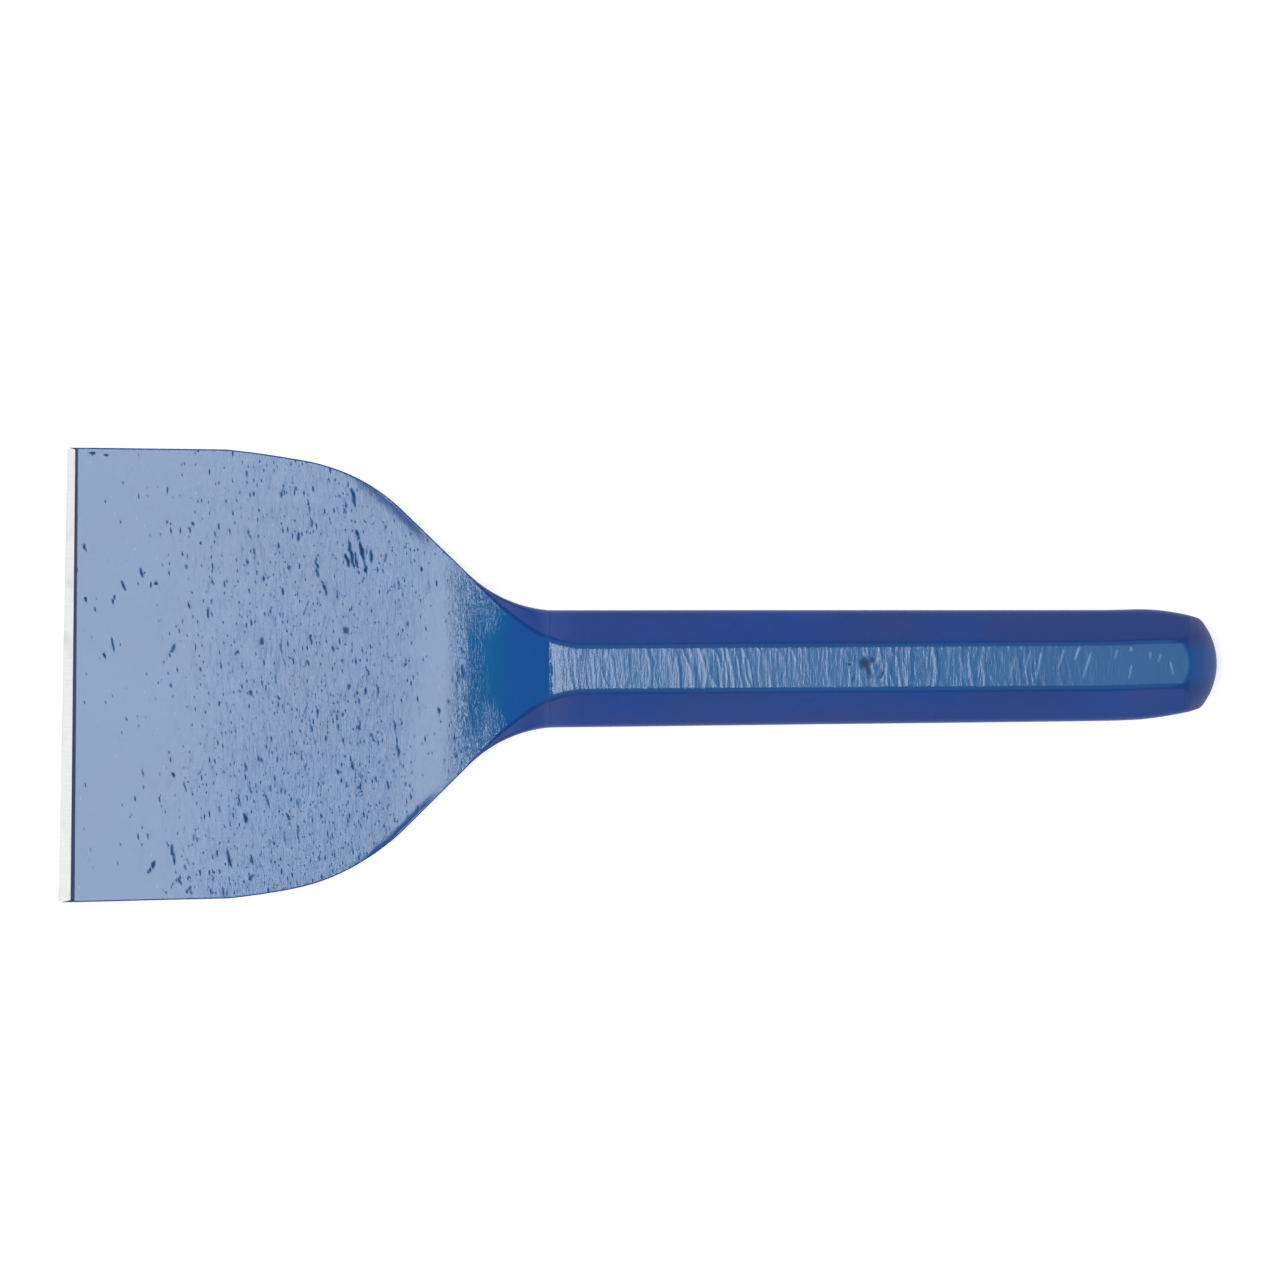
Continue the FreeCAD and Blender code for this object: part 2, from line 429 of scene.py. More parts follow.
# Small dents, strewn over both faces of the blade. A pair is the least and the most, and the
# lean is in degrees.
STROKE_SEED = 7
STROKES_PER_FACE = 230
STROKE_STATIONS = (8.0, 90.0)
STROKE_HALF_LENGTHS = (0.3, 2.4)
STROKE_HALF_WIDTHS = (0.10, 0.16)
STROKE_DEPTHS = (0.022, 0.075)
STROKE_LEAN = 5.0
STROKE_LEAN_SPREAD = 8.0

# Depth from which a dent's painted shade is full
FULL_DENT = 0.06

# The larger dents of the upper face: station, distance across from the middle, half length,
# half width, lean and depth. A dent with no lean lies straight across the tool.
LARGE_DENTS = [
    (6.5, 28.0, 1.1, 0.22, math.radians(20.0), 0.05),
    (6.7, 16.4, 0.35, 0.15, 0.0, 0.12),
    (12.8, 16.8, 1.2, 0.1, math.radians(-12.0), 0.09),
    (10.6, 4.3, 0.5, 0.12, math.radians(8.0), 0.09),
    (20.2, -43.0, 0.8, 0.13, math.radians(-20.0), 0.10),
    (65.1, 26.0, 2.7, 0.18, math.radians(11.0), 0.16),
    (67.4, 26.8, 2.0, 0.19, math.radians(10.0), 0.16),
    (68.3, 23.0, 1.2, 0.15, math.radians(14.0), 0.12),
    (65.7, 38.6, 2.0, 0.19, math.radians(12.0), 0.12),
    (57.5, 23.4, 2.4, 0.12, math.radians(4.0), 0.09),
    (59.1, 18.8, 1.6, 0.12, math.radians(18.0), 0.09),
    (63.7, 9.4, 0.9, 0.56, math.radians(-40.0), 0.045),
    (45.1, 7.2, 1.0, 0.52, math.radians(-16.0), 0.045),
    (25.5, 5.2, 1.6, 0.13, math.radians(-20.0), 0.10),
    (18.9, 22.2, 1.0, 0.13, math.radians(6.0), 0.10),
    (14.9, 19.6, 1.2, 0.12, math.radians(28.0), 0.10),
    (22.1, 20.0, 0.34, 0.22, 0.0, 0.12),
    (39.9, 4.8, 0.4, 0.45, 0.0, 0.045),
    (64.4, -3.2, 0.9, 0.38, 0.0, 0.045),
    (41.4, -31.6, 1.0, 0.21, math.radians(18.0), 0.13),
    (25.5, -39.6, 2.0, 0.15, math.radians(10.0), 0.11),
    (37.9, -40.6, 1.8, 0.15, math.radians(12.0), 0.11),
    (21.1, -41.6, 0.8, 0.22, math.radians(-14.0), 0.12),
    (28.9, -47.2, 0.9, 0.19, math.radians(-30.0), 0.12),
    (42.5, -44.6, 0.9, 0.19, math.radians(-34.0), 0.12),
    (64.2, 24.9, 1.6, 0.16, math.radians(14.0), 0.13),
    (66.3, 24.2, 1.9, 0.15, math.radians(8.0), 0.13),
    (66.5, 30.4, 1.1, 0.14, math.radians(16.0), 0.11),
    (69.5, 25.8, 1.4, 0.15, math.radians(10.0), 0.11),
    (8.1, 48.6, 0.14, 1.6, math.radians(6.0), 0.10),
    (12.0, 48.3, 0.14, 1.2, math.radians(4.0), 0.09),
    (177.1, 1.5, 1.7, 1.5, math.radians(20.0), 0.050),
    (179.1, 2.3, 0.8, 0.8, math.radians(-20.0), 0.045),
    (178.4, -0.8, 1.3, 0.8, math.radians(30.0), 0.042),
    (173.9, 1.4, 0.35, 0.4, 0.0, 0.06),
    (181.0, -0.9, 1.5, 0.3, math.radians(-24.0), 0.05),
    (175.0, -1.9, 1.2, 0.25, math.radians(-8.0), 0.05),
]

# Thin scuffs across the shank's upper facet, made pale with a painted glint: station, distance from
# the middle of the shank, half length, lean and strength. They are all the same width.
SCUFF_HALF_WIDTH = 0.14
SCUFF_GLINTS = [
    (139.6, 0.2, 4.2, math.radians(-6.0), 0.45),
    (141.3, 0.8, 3.6, math.radians(-10.0), 0.45),
    (143.0, 0.4, 4.0, math.radians(-7.0), 0.35),
    (147.2, 0.6, 3.6, math.radians(-5.0), 0.40),
    (161.9, 0.2, 3.4, math.radians(-3.0), 0.50),
    (198.6, -1.2, 2.2, math.radians(8.0), 0.45),
    (209.3, -0.6, 3.0, math.radians(-14.0), 0.45),
    (212.4, 0.2, 3.4, math.radians(-16.0), 0.45),
    (175.4, -0.9, 2.2, 0.0, 0.45),
    (176.6, -1.3, 1.4, math.radians(38.0), 0.25),
    (178.6, -2.0, 1.8, math.radians(-14.0), 0.40),
    (179.7, 1.3, 0.8, math.radians(-30.0), 0.40),
    (215.1, 0.2, 3.4, math.radians(-11.0), 0.8),
    (220.0, 1.6, 2.3, math.radians(-19.0), 0.7),
    (223.4, 2.6, 1.8, math.radians(-22.0), 1.0),
    (225.6, 0.1, 3.3, math.radians(-17.6), 0.8),
    (231.9, 2.4, 1.2, math.radians(-24.0), 0.5),
    (235.2, 3.4, 0.6, math.radians(-22.0), 1.0),
    (235.0, -1.6, 1.9, math.radians(-11.5), 0.6),
    (239.4, 1.9, 0.9, 0.0, 0.7),
    (241.4, 1.2, 1.1, math.radians(-20.0), 0.5),
    (244.1, -1.0, 1.6, math.radians(13.0), 0.7),
]


def noise_field(seed):
    """A smooth random field of space, from -1 to 1, that repeats after so many cells. A
    coordinate divided by a length makes cells that long."""
    table = np.random.default_rng(seed).uniform(-1.0, 1.0, (NOISE_CELLS,) * 3)

    def field(x, y, z):
        whole = [np.floor(v).astype(int) for v in (x, y, z)]
        part = [v - w for v, w in zip((x, y, z), whole)]
        ease = [p * p * (3 - 2 * p) for p in part]
        total = 0.0
        for corner in range(8):
            bits = [corner & 1, corner >> 1 & 1, corner >> 2]
            weight = 1.0
            for bit, e in zip(bits, ease):
                weight = weight * (e if bit else 1 - e)
            i, j, k = ((w + bit) % NOISE_CELLS for w, bit in zip(whole, bits))
            total = total + weight * table[i, j, k]
        return total

    return field


def blade_grain(s, y):
    """How strongly the hammer marks show on the blade: faint near the edge, strong behind."""
    patch = smooth_step(*PATCH_RISE, s - PATCH_LEAN * y) - smooth_step(*PATCH_FALL, s)
    side = GRAIN_MIDDLE - GRAIN_TILT * y / HALF_WIDTH
    return (GRAIN_LEAST + smooth_step(*GRAIN_RISE, s) * side) * (1.0 - PATCH_FADE * patch)


def from_outline(s, y):
    """Distance to the nearest side of the plan outline."""
    stations = np.arange(0.0, 110.0)
    slope = np.interp(s, stations, np.gradient(half_width(stations)))
    return (half_width(s) - np.abs(y - centre_line(s))) / np.sqrt(1.0 + slope**2)


def shoulder_band(s):
    """1 along the turn of the shoulder, 0 in front of it and behind."""
    return smooth_step(*BAND_RISE, s) - smooth_step(*BAND_FALL, s)


def near_transition(s, spread):
    """1 where the blade turns up into the neck, fading over a spread either side."""
    return np.exp(-(((s - TRANSITION) / spread) ** 2))


def random_strokes(rng, count):
    """Dents of the blade that mostly run across it, in the same terms as the large ones."""
    strokes = []
    while len(strokes) < count:
        s = rng.uniform(*STROKE_STATIONS)
        y = rng.uniform(-1.0, 1.0) * (float(half_width(np.float64(s))) - 1.0)
        if rng.random() > float(blade_grain(np.float64(s), y)):
            continue
        half_length = float(np.clip(rng.lognormvariate(-0.25, 0.5), *STROKE_HALF_LENGTHS))
        half_wide = rng.uniform(*STROKE_HALF_WIDTHS)
        lean = math.radians(rng.gauss(STROKE_LEAN, STROKE_LEAN_SPREAD))
        strokes.append((s, y, half_length, half_wide, lean, rng.uniform(*STROKE_DEPTHS)))
    return strokes


def carve(s, y, inside, strokes):
    """Depth, below 0, of ragged strokes pressed into the points inside."""
    ragged, bent = noise_field(41), noise_field(42)
    height = np.zeros_like(s)
    index = np.flatnonzero(inside)
    index = index[np.argsort(s[index], kind="stable")]
    stations = s[index]
    for centre, across, half_length, half_wide, lean, depth in strokes:
        reach = 2.0 * max(half_length, half_wide) + 0.3
        first, last = np.searchsorted(stations, [centre - reach, centre + reach])
        near = index[first:last]
        near = near[np.abs(y[near] - across) < reach]
        ds, dy = s[near] - centre, y[near] - across
        ds = ds + 0.22 * ragged(s[near] / 0.9, y[near] / 0.9, 0.0)
        dy = dy + 0.30 * bent(s[near] / 0.7, y[near] / 1.3, 0.0)
        along = (dy * math.cos(lean) - ds * math.sin(lean)) / half_length
        aside = (ds * math.cos(lean) + dy * math.sin(lean)) / half_wide
        height[near] -= depth * np.exp(-((along**2 + aside**2) ** 1.5))
    return height


def blade_relief(s, y, z, facing):
    """Grain on the faces of the blade, which also roll off towards the outline."""
    blade = 1.0 - smooth_step(*BLADE_FALL, s)
    coarse, fine, patch, ragged, heave = (noise_field(seed) for seed in (11, 12, 13, 14, 15))
    rough = blade_grain(s, y) * (0.8 + 0.5 * patch(s / 13, y / 17, z / 9))
    rough = rough + 0.9 * near_transition(s, 5.0)
    lean = s + 0.09 * y
    grain = 0.012 * coarse(lean / 0.9, y / 3.4, z / 5) + 0.009 * fine(lean / 0.55, y / 1.8, z / 5)
    width = ROLL_WIDTH * (1.0 + 0.5 * ragged(s / 5, y / 5, z / 9))
    roll = ROLL_DROP * np.clip(1.0 - from_outline(s, y) / width, 0.0, 1.0) ** 2
    roll = roll * (0.25 * smooth_step(*SIDE_ROLL_RISE, s) + 0.75 * shoulder_band(s))
    swell = 0.07 * heave(s / 5, y / 7, z / 9) * near_transition(s, 6.0)
    return (grain * rough + swell - roll) * blade * np.abs(facing)


def shank_relief(s, y, z, facing):
    """Cross wrinkles on the shank, deep by the neck and fading towards the head."""
    bend, ridge, crease, spread = (noise_field(seed) for seed in (21, 22, 23, 24))
    warp = s + 1.6 * bend(s / 8, y / 8, z / 9) + 0.12 * y
    strength = smooth_step(*WRINKLE_RISE, s) * (1.0 - 0.8 * smooth_step(*WRINKLE_FALL, s))
    strength = strength * (0.8 + 0.6 * spread(s / 9, y / 12, z / 9))
    waves = 0.021 * ridge(warp / 0.7, y / 5, z / 9)
    sharp = 0.060 * (1.0 - np.abs(crease(warp / 1.3, y / 8, z / 9))) ** 7
    past = s - SHANK_START + 0.4 * ridge(y / 0.9, 0.0, z / 9)
    step = STEP_DROP * np.clip(1.0 - past / STEP_WIDTH, 0.0, 1.0) ** 2 * (past >= 0.0)
    return (strength * (waves + sharp) - step) * smooth_step(0.72, 0.98, np.abs(facing))


def relief(points, normals):
    """Height of the relief at each point, and how much of it is dent."""
    rng = random.Random(STROKE_SEED)
    s, y, z = points.T
    facing = normals[:, 2]
    swell = noise_field(31)
    dents = carve(s, y, facing > 0.6, random_strokes(rng, STROKES_PER_FACE) + LARGE_DENTS)
    dents += carve(s, y, facing < -0.6, random_strokes(rng, STROKES_PER_FACE))
    height = blade_relief(s, y, z, facing) + shank_relief(s, y, z, facing) + dents
    height += 0.02 * swell(s / 11, y / 13, z / 8)
    low = np.where(np.abs(facing) < 0.9, STEEP_LOW, RELIEF_LOW)
    fade = smooth_step(0.0, 0.9, s - ground_station(y, z)) * (1.0 - smooth_step(*HEAD_FALL, s))
    return np.clip(height, low, RELIEF_HIGH) * fade, np.clip(-dents / FULL_DENT, 0.0, 1.0) * fade


def scuff_glint_marks(s, y, facing):
    """How strongly the painted glints of the thin scuffs on the upper facet show at each point."""
    shown = np.zeros_like(s)
    for centre, across, half_length, lean, strength in SCUFF_GLINTS:
        ds, dy = s - centre, y - centre_line(s) - across
        along = (dy * math.cos(lean) - ds * math.sin(lean)) / half_length
        aside = (ds * math.cos(lean) + dy * math.sin(lean)) / SCUFF_HALF_WIDTH
        line = strength * np.exp(-(aside**2)) * smooth_step(1.0, 0.6, np.abs(along))
        line = line * (0.7 + 0.3 * along)
        shown = np.maximum(shown, line)
    return shown * (facing > 0.9)


def slight_heights(s, side, roll):
    """Heights by the neck that only the material's bump shows."""
    middle = TONGUE_HEIGHT * smooth_step(*TONGUE_RISE, s) - LEDGE_DROP * smooth_step(*LEDGE_RISE, s)
    shelf = SHELF_DROP * smooth_step(*SHELF_RISE, s)
    return (1.0 - side) * middle - side * shelf - SHOULDER_DROP * roll


def surface_shades(points, normals):
    """What the lacquer's material reads at each point, by name."""
    s, y, z = points.T
    upright = np.abs(normals[:, 2])
    sideways = np.abs(normals[:, 1])
    blade = smooth_step(0.6, 0.8, upright) * (1.0 - smooth_step(*BLADE_SHADE_FALL, s))
    shank = smooth_step(*SHANK_SHADE_RISE, s) * (1.0 - 0.6 * smooth_step(*SHANK_SHADE_FALL, s))
    # Painted shade along the rounded long edges of the neck and shank
    corner = smooth_step(0.04, 0.18, sideways) * (1.0 - smooth_step(0.50, 0.68, sideways))
    corner = corner * (smooth_step(*CORNER_RISE, s) - smooth_step(*CORNER_FALL, s))
    flat = smooth_step(0.80, 0.97, upright) * (1.0 - smooth_step(*WRINKLE_SHADE_FALL, s))
    ragged = noise_field(51)(s / 2.5, y / 2.5, z / 9)
    width = (SHOULDER_SHADE_WIDTH + ragged) * (0.75 + 0.25 * np.sign(y))
    inward = from_outline(s, y)
    roll = np.clip(1.0 - inward / width, 0.0, 1.0) ** 2 * shoulder_band(s)
    side = smooth_step(*SIDE_STRIP, inward)
    past = s - TURN_STATION - SIDE_TURN_DELAY * side
    turn = np.exp(-((past / (TURN_SPREAD + SIDE_TURN_SPREAD * side)) ** 2))
    return {
        "marks": 0.65 * blade_grain(s, y) * blade + 0.3 * shank,
        "wrinkles": shank * flat,
        "specks": blade_grain(s, y) * blade * (1.0 - smooth_step(*SPECK_FALL, s)),
        "turn": turn * (1.0 + 0.6 * ragged) * blade,
        "lean": slight_heights(s, side, roll) * blade,
        # level faces keep the lacquer's blue, sloping ones get a painted shade
        "level": smooth_step(0.90, 0.97, upright),
        # painted shade on the slanting flats
        "slant_shade": smooth_step(0.12, 0.42, sideways),
        # painted shade on the rounded edges and across the shoulders' roll
        "corner": np.maximum(corner, smooth_step(0.0, 0.25, roll) * blade),
        "head": smooth_step(*HEAD_RISE, s),
        "scuff_glints": scuff_glint_marks(s, y, normals[:, 2]),
        "trimmed": np.clip(1.0 - (s - ground_station(y, z)) / TRIM_WIDTH, 0.0, 1.0),
    }


def build_lacquer():
    """The lacquer film as one closed mesh: outer skin with relief, inner skin, and rim."""
    outer, outer_faces, outer_front = skin(0.0, ROW_STEP, COLUMN_STEP)
    inner, inner_faces, inner_front = skin(LACQUER, INNER_STEP, INNER_STEP)
    normals = vertex_normals(outer, outer_faces)
    height, dent = relief(outer, normals)
    shades = surface_shades(outer, normals)
    outer = outer + normals * height[:, None]
    rim = zip_rings(len(outer), 0, inner_front, outer_front)
    faces = np.concatenate([outer_faces, inner_faces[:, ::-1] + len(outer), rim])
    points = np.concatenate([outer, inner])
    low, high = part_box("lacquer_coat")
    place = np.array([low[0], 0.0, (low[2] + high[2]) / 2])
    mesh = triangle_mesh("lacquer_film", points * MM + place, faces)
    for name, values in {"dent": dent, **shades}.items():
        inside = np.full(len(inner), name == "trimmed")
        add_shade(mesh, name, np.concatenate([values, inside]))
    rim_ring = np.zeros(len(points), int)
    rim_ring[: outer_front.sum()] = 1
    rim_ring[len(outer) : len(outer) + inner_front.sum()] = 2
    mark_sharp(mesh, rim_ring)
    film = bpy.data.objects.new("lacquer_film", mesh)
    bpy.context.scene.collection.objects.link(film)
    return film


def triangle_mesh(name, points, faces):
    """A smooth-shaded triangle mesh."""
    mesh = bpy.data.meshes.new(name)
    mesh.vertices.add(len(points))
    mesh.vertices.foreach_set("co", points.astype(np.float32).ravel())
    mesh.loops.add(faces.size)
    mesh.loops.foreach_set("vertex_index", faces.astype(np.int32).ravel())
    mesh.polygons.add(len(faces))
    mesh.polygons.foreach_set("loop_start", np.arange(0, faces.size, 3, dtype=np.int32))
    mesh.update(calc_edges=True)
    mesh.polygons.foreach_set("use_smooth", np.ones(len(faces), bool))
    mesh.validate()
    return mesh


def add_shade(mesh, name, values):
    """Keeps one number per vertex for a material to read."""
    layer = mesh.attributes.new(name, "FLOAT", "POINT")
    layer.data.foreach_set("value", values.astype(np.float32))


def mark_sharp(mesh, ring):
    """Creases the edges whose two ends have the same number, other than 0."""
    ends = np.empty(len(mesh.edges) * 2, np.int32)
    mesh.edges.foreach_get("vertices", ends)
    first, second = ring[ends[0::2]], ring[ends[1::2]]
    sharp = mesh.attributes.new("sharp_edge", "BOOLEAN", "EDGE")
    sharp.data.foreach_set("value", (first == second) & (first > 0))


WAVE_DEPTH = 0.0003
CELLS_UP = 900.0


class Nodes:
    """Short calls for building one material's node tree."""

    def __init__(self, name):
        self.material = bpy.data.materials.new(name)
        self.material.use_nodes = True
        self.tree = self.material.node_tree
        self.shader = self.tree.nodes["Principled BSDF"]

    def add(self, kind, **settings):
        """A new node with its settings."""
        node = self.tree.nodes.new(kind)
        for name, value in settings.items():
            setattr(node, name, value)
        return node

    def put(self, socket, value):
        """Gives an input a number, a colour, or another node's output."""
        if isinstance(value, bpy.types.NodeSocket):
            self.tree.links.new(value, socket)
        elif isinstance(value, tuple) and socket.type == "RGBA":
            socket.default_value = (*value, 1.0)
        else:
            socket.default_value = value

    def place(self):
        """Where a point lies on the object, in metres."""
        return self.add("ShaderNodeTexCoord").outputs["Object"]

    def noise(self, scale, detail=2.0, roughness=0.5):
        """Noise whose features are 1/scale metres along each axis."""
        stretch = self.add("ShaderNodeMapping")
        self.put(stretch.inputs["Vector"], self.place())
        self.put(stretch.inputs["Scale"], scale)
        node = self.add("ShaderNodeTexNoise")
        self.put(node.inputs["Vector"], stretch.outputs["Vector"])
        for name, value in (("Scale", 1.0), ("Detail", detail), ("Roughness", roughness)):
            self.put(node.inputs[name], value)
        return node.outputs["Fac"]

    def ramp(self, value, low, high, start=0.0, stop=1.0):
        """A value mapped from one range to another, clamped."""
        node = self.add("ShaderNodeMapRange")
        names = ("Value", "From Min", "From Max", "To Min", "To Max")
        for name, number in zip(names, (value, low, high, start, stop)):
            self.put(node.inputs[name], number)
        return node.outputs["Result"]

    def mix(self, share, first, second):
        """Two colours mixed by a share."""
        node = self.add("ShaderNodeMix", data_type="RGBA")
        self.put(node.inputs["Factor"], share)
        self.put(node.inputs[6], first)
        self.put(node.inputs[7], second)
        return node.outputs[2]

    def math(self, operation, first, second):
        """Arithmetic on two values."""
        node = self.add("ShaderNodeMath", operation=operation)
        self.put(node.inputs[0], first)
        self.put(node.inputs[1], second)
        return node.outputs[0]

    def shade(self, name):
        """One of the numbers kept on the mesh."""
        return self.add("ShaderNodeAttribute", attribute_name=name).outputs["Fac"]

    def plan(self, length, width, lean, layer):
        """Wavy cells across the tool, seen in plan. Height shifts them, so that no two faces
        have the same ones, and the layer sets one pattern apart from the next."""
        axes = self.add("ShaderNodeSeparateXYZ")
        self.put(axes.inputs[0], self.place())
        x, y, z = axes.outputs
        wave = self.math("MULTIPLY", self.noise((900.0, 500.0, 500.0), 1.0), WAVE_DEPTH)
        x = self.math("ADD", self.math("ADD", x, self.math("MULTIPLY", y, lean)), wave)
        x = self.math("ADD", self.math("DIVIDE", x, width), self.math("MULTIPLY", z, CELLS_UP))
        cell = self.add("ShaderNodeCombineXYZ")
        self.put(cell.inputs[0], x)
        self.put(cell.inputs[1], self.math("ADD", self.math("DIVIDE", y, length), layer))
        return cell.outputs[0]

    def dashes(self, length, width, lean, layer, density, reach):
        """A mask of short dashes, one to a cell of a length and a width, in a share of the
        cells. The reach is the largest dash's radius in cells."""
        cells = self.add("ShaderNodeTexVoronoi", voronoi_dimensions="2D")
        self.put(cells.inputs["Vector"], self.plan(length, width, lean, layer))
        self.put(cells.inputs["Scale"], 1.0)
        chance = self.add("ShaderNodeSeparateColor")
        self.put(chance.inputs[0], cells.outputs["Color"])
        size = self.ramp(chance.outputs[1], 0.0, 1.0, 0.35 * reach, reach)
        inner = self.math("MULTIPLY", size, 0.4)
        dash = self.ramp(cells.outputs["Distance"], size, inner)
        return self.math("MULTIPLY", dash, self.math("LESS_THAN", chance.outputs[0], density))

    def bump(self, height, distance):
        """Relief in the shading only, where a height of 1 is a distance in metres."""
        node = self.add("ShaderNodeBump")
        self.put(node.inputs["Distance"], distance)
        self.put(node.inputs["Height"], height)
        self.put(self.shader.inputs["Normal"], node.outputs["Normal"])


# Colours of the lacquer: on the faces; painted shade on sloping surfaces, the neck's among them,
# on slanting flats and along the long edges; painted glints in scuffs; painted shade in dents;
# and at its cut end a navy that is partly its thick edge and partly painted shadow
LACQUER_BLUE = (0.003, 0.106, 0.300)
LACQUER_DEEP = (0.003, 0.092, 0.272)
SLOPE_SHADE_BLUE = (0.006, 0.079, 0.305)
SLANT_SHADE_BLUE = (0.002, 0.046, 0.260)
SLANT_SHADE_VIOLET = (0.013, 0.042, 0.205)
CORNER_SHADE_BLUE = (0.018, 0.084, 0.255)
SCUFF_GLINT_PALE = (0.38, 0.54, 0.76)
DENT_SHADE_NAVY = (0.008, 0.014, 0.042)
TRIM_EDGE_SHADOW_NAVY = (0.030, 0.050, 0.110)
LACQUER_ROUGHNESS = 0.155
MARK_ROUGHNESS = 0.62
HEAD_ROUGHNESS = 0.45
BUMP_HEIGHT_MM = 0.06


def fine_marks(n, specks):
    """Dashes in two sizes and brushed streaks across the blade, from 0 to 1, which the colour
    darkens as painted shade.
    """
    share = n.math("MULTIPLY", specks, 0.34)
    small = n.dashes(0.0042, 0.0011, lean=0.08, layer=0.3, density=share, reach=0.21)
    share = n.math("MULTIPLY", specks, 0.40)
    tiny = n.dashes(0.0022, 0.0008, lean=0.05, layer=40.7, density=share, reach=0.21)
    brushed = n.ramp(n.noise((2600.0, 300.0, 300.0)), 0.52, 0.78)
    streak = n.math("MULTIPLY", brushed, n.math("MULTIPLY", specks, 0.19))
    return n.math("MAXIMUM", streak, n.math("MULTIPLY", n.math("MAXIMUM", small, tiny), 0.9))


def pale_glint_marks(n, specks):
    """Painted glints: pale dashes on the blade, and the pale of the shank's scuffs."""
    share = n.math("MULTIPLY", specks, 0.30)
    glints = n.dashes(0.0024, 0.0008, lean=0.06, layer=90.3, density=share, reach=0.2)
    return n.math("MAXIMUM", n.shade("scuff_glints"), n.math("MULTIPLY", glints, 0.16))


def lacquer_colour(n, pit_shade, glints, trimmed):
    """Blues that drift slowly over the faces, with painted shade on slopes, slanting flats and
    edges, under the painted shade of the dark marks and the painted glints of the pale ones.
    """
    drift = n.ramp(n.noise((38.0, 55.0, 55.0), 3.0), 0.35, 0.65)
    # Sloping surfaces get a painted shade blue in place of the faces' blue
    colour = n.mix(n.shade("level"), SLOPE_SHADE_BLUE, n.mix(drift, LACQUER_BLUE, LACQUER_DEEP))
    # The slanting flats get a painted shade, blue and violet
    colour = n.mix(n.shade("slant_shade"), colour, n.mix(drift, SLANT_SHADE_BLUE, SLANT_SHADE_VIOLET))
    # The rounded edges and the shoulders' roll get a painted shade
    colour = n.mix(n.shade("corner"), colour, CORNER_SHADE_BLUE)
    # Painted shade in the dents and the fine marks
    colour = n.mix(n.math("MULTIPLY", pit_shade, 0.95), colour, DENT_SHADE_NAVY)
    # A navy at the cut end, partly its thick edge and partly painted shadow
    # The scuffs and the pale dashes get a painted glint
    return n.mix(trimmed, n.mix(glints, colour, SCUFF_GLINT_PALE), TRIM_EDGE_SHADOW_NAVY)


def lacquer_roughness(n, dark, trimmed):
    """Glossy, but dull in the dark marks, at the cut end and on the struck head."""
    dull = n.math("POWER", n.math("MAXIMUM", dark, trimmed), 0.7)
    dull = n.math("MULTIPLY", dull, MARK_ROUGHNESS)
    head = n.math("MULTIPLY", n.shade("head"), HEAD_ROUGHNESS)
    return n.math("ADD", n.math("MAXIMUM", dull, head), LACQUER_ROUGHNESS)


def lacquer_height(n, dark):
    """Grain, flecks where the blade turns up, wrinkles and slight slopes, less the marks."""
    grain = n.noise((2900.0, 430.0, 430.0), 3.0, 0.6)
    height = n.math("MULTIPLY", grain, n.math("ADD", n.shade("marks"), 0.03))
    flecks = n.ramp(n.noise((2300.0, 620.0, 620.0), 2.0, 0.55), 0.44, 0.56)
    height = n.math("ADD", height, n.math("MULTIPLY", flecks, n.shade("turn")))
    wrinkles = n.noise((1700.0, 300.0, 300.0))
    height = n.math("ADD", height, n.math("MULTIPLY", wrinkles, n.shade("wrinkles")))
    height = n.math("ADD", height, n.math("DIVIDE", n.shade("lean"), BUMP_HEIGHT_MM))
    return n.math("SUBTRACT", height, n.math("MULTIPLY", dark, 0.4))


def lacquer_material():
    """Glossy blue lacquer: slow colour changes, painted shade on slopes, edges and dents, painted
    glints, and a navy line where it is ground that is partly its thick cut edge and partly painted
    shadow.
    """
    n = Nodes("blue_lacquer_film")
    specks = n.shade("specks")
    fine = fine_marks(n, specks)
    pressed = n.ramp(n.shade("dent"), 0.2, 0.95)
    dark = n.math("MAXIMUM", pressed, fine)
    # How much painted shade the dents and the fine marks get
    pit_shade = n.math("POWER", n.math("MAXIMUM", pressed, n.math("MULTIPLY", fine, 0.7)), 1.5)
    trimmed = n.ramp(n.shade("trimmed"), 0.65, 0.85)
    colour = lacquer_colour(n, pit_shade, pale_glint_marks(n, specks), trimmed)
    n.put(n.shader.inputs["Base Color"], colour)
    n.put(n.shader.inputs["Roughness"], lacquer_roughness(n, dark, trimmed))
    n.put(n.shader.inputs["IOR"], 1.45)
    n.put(n.shader.inputs["Specular IOR Level"], 0.38)
    n.bump(lacquer_height(n, dark), BUMP_HEIGHT_MM * MM)
    return n.material


STEEL_BRIGHT = (0.97, 0.975, 0.98)
STEEL_SHADE = (0.93, 0.935, 0.94)
STEEL_STAIN = (0.16, 0.17, 0.20)
STEEL_LINE_DEPTH = 0.00001


def steel_material():
    """Ground steel: fine belt lines square to the edge, with faint heat staining."""
    n = Nodes("ground_steel")
    lines = n.noise((260.0, 5200.0, 260.0), 3.0, 0.65)
    stain = n.ramp(n.noise((160.0, 90.0, 160.0), 2.0), 0.55, 0.8, 0.0, 0.2)
    colour = n.mix(n.ramp(lines, 0.35, 0.65), STEEL_SHADE, STEEL_BRIGHT)
    n.put(n.shader.inputs["Base Color"], n.mix(stain, colour, STEEL_STAIN))
    n.put(n.shader.inputs["Metallic"], 1.0)
    n.put(n.shader.inputs["Roughness"], n.ramp(lines, 0.3, 0.7, 0.80, 0.92))
    n.bump(lines, STEEL_LINE_DEPTH)
    return n.material


WHITE = (1.0, 1.0, 1.0)
FLOOR_PALE = (0.62, 0.62, 0.62)
FLOOR_SHADE = (0.60, 0.60, 0.60)
FLOOR_GLOW = 0.69
FLOOR_SIZE = 6.0
FLOOR_GAP = 0.0002


